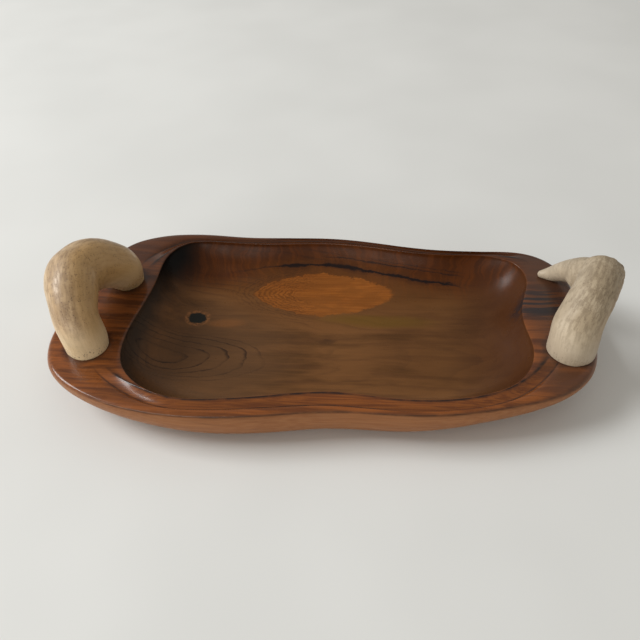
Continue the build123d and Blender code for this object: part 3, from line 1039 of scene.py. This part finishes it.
# %% Dress the bowl and the handles
bowl.data.materials.clear()
bowl.data.materials.append(hardwood("carved_hardwood"))
left_handle.data.materials.clear()
left_handle.data.materials.append(
    antler(
        "handled_antler",
        pale=colour(0.61, 0.43, 0.25),
        mid=colour(0.46, 0.315, 0.18),
        stain=colour(0.25, 0.155, 0.08),
        gloss=0.40,
        chalk=0.38,
        pitted=1.1,
        foot_tint=colour(0.86, 0.69, 0.43),
        side_tint=colour(0.50, 0.29, 0.10),
        streaks=0.7,
        rear_tint=0.6,
    )
)
right_handle.data.materials.clear()
right_handle.data.materials.append(
    antler(
        "dry_antler",
        pale=colour(0.53, 0.43, 0.30),
        mid=colour(0.41, 0.32, 0.21),
        stain=colour(0.21, 0.155, 0.095),
        gloss=0.58,
        chalk=0.55,
        pitted=0.6,
        foot_tint=colour(0.44, 0.36, 0.265),
        side_tint=colour(0.40, 0.275, 0.16),
        streaks=0.55,
        rear_tint=0.0,
    )
)

# %% [markdown]
# ## Screws and plugs
#
# Underneath, a wood plug closes the hole below each screw.  The measured screws and plugs keep
# their shape and get a finish of their own: dull brass, and the same hardwood with its figure set
# off from the block's, as a plug cut from another board has.

# %% Brass and plug finishes


def dull_brass(name):
    r = Recipe(name)
    place = r.object_mm()
    cloud = r.noise(place, 3.0, detail=4.0)
    base = r.mix(r.spread(cloud, 0.35, 0.7), colour(0.50, 0.34, 0.12), colour(0.28, 0.18, 0.07))
    r.put(r.shader.inputs["Base Color"], base)
    r.shader.inputs["Metallic"].default_value = 1.0
    r.put(r.shader.inputs["Roughness"], r.spread(cloud, 0.3, 0.7, 0.3, 0.5))
    r.bump(r.noise(place, 0.6, detail=2.0), 0.2, 0.1)
    return r.material


brass = dull_brass("dull_brass")
plug_wood = hardwood("plug_hardwood", pith=(0.0, 40.0, -30.0))
for name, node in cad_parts.items():
    if name.endswith("_screw"):
        node.data.materials.clear()
        node.data.materials.append(brass)
    if name.endswith("_plug"):
        node.data.materials.clear()
        node.data.materials.append(plug_wood)

# %% [markdown]
# ## Table, light and camera
#
# The bowl stands on a wide, flat, pale sheet that runs on past the edges of the view.  A large
# soft light on the left does most of the work, as a window would.  A low one in front stands in
# for a pale wall of the room, and a weak even sky fills the shadows.

# %% Pale sheet
deselect_all()
bpy.ops.mesh.primitive_plane_add(size=1, location=(0, 0, 0))
sheet = bpy.context.object
sheet.name = "floor_sheet"
sheet.scale = (14, 9, 1)
bpy.ops.object.transform_apply(location=True, rotation=True, scale=True)


def pale_sheet(name):
    r = Recipe(name)
    place = r.object_mm()
    cloud = r.noise(place, 260.0, detail=2.0)
    base = r.mix(r.spread(cloud, 0.3, 0.7), colour(0.70, 0.70, 0.68), colour(0.74, 0.74, 0.72))
    r.put(r.shader.inputs["Base Color"], base)
    r.shader.inputs["Roughness"].default_value = 0.7
    r.bump(r.noise(place, 1.6, detail=2.0), 0.05, 0.2)
    return r.material


sheet.data.materials.append(pale_sheet("pale_sheet"))

# %% Window, room wall and sky
scene = bpy.context.scene
scene.view_settings.view_transform = "Standard"


def soft_light(name, place, aim, width, height, power, tint):
    data = bpy.data.lights.new(name, "AREA")
    data.shape = "RECTANGLE"
    data.size = width
    data.size_y = height
    data.energy = power
    data.color = tint
    lamp = bpy.data.objects.new(name, data)
    scene.collection.objects.link(lamp)
    lamp.location = place
    lamp.rotation_euler = (Vector(aim) - Vector(place)).to_track_quat("-Z", "Y").to_euler()
    return lamp


soft_light("window", (-3.4, 0.05, 2.7), (0, 0, 0), 2.1, 2.1, 160, (0.97, 0.99, 1.0))
soft_light("room_wall", (-1.7, -3.0, 0.75), (0, 0, 0.05), 3.0, 0.9, 34, (1.0, 0.96, 0.90))
world = bpy.data.worlds.new("sky")
scene.world = world
world.use_nodes = True
world.node_tree.nodes["Background"].inputs["Color"].default_value = (1.0, 0.965, 0.90, 1)
world.node_tree.nodes["Background"].inputs["Strength"].default_value = 0.42

# %% [markdown]
# The camera looks down at the bowl from the front, turned and tilted a little, as when it is held
# by hand.  Three angles and a distance place it, which are easier to adjust than a matrix.

# %% Camera
camera_data = bpy.data.cameras.new("camera")
camera_data.sensor_width = 36.0
camera_data.lens = 37.69  # mm, a little wider than a standard lens
camera = bpy.data.objects.new("camera", camera_data)
scene.collection.objects.link(camera)
PITCH = math.radians(43.0)
YAW = math.radians(-6.0)
ROLL = math.radians(-2.4)
forward = Vector((math.sin(YAW) * math.cos(PITCH), math.cos(YAW) * math.cos(PITCH), -math.sin(PITCH)))
level = Vector((math.cos(YAW), -math.sin(YAW), 0))
above = level.cross(forward)
right = level * math.cos(ROLL) + above * math.sin(ROLL)
up = above * math.cos(ROLL) - level * math.sin(ROLL)
DISTANCE = 0.6684  # metres from the point it looks at
target = Vector((0, -0.007, 0.0468))
turn = Matrix((right, up, -forward)).transposed().to_4x4()
camera.matrix_world = Matrix.Translation(target - forward * DISTANCE) @ turn
scene.camera = camera
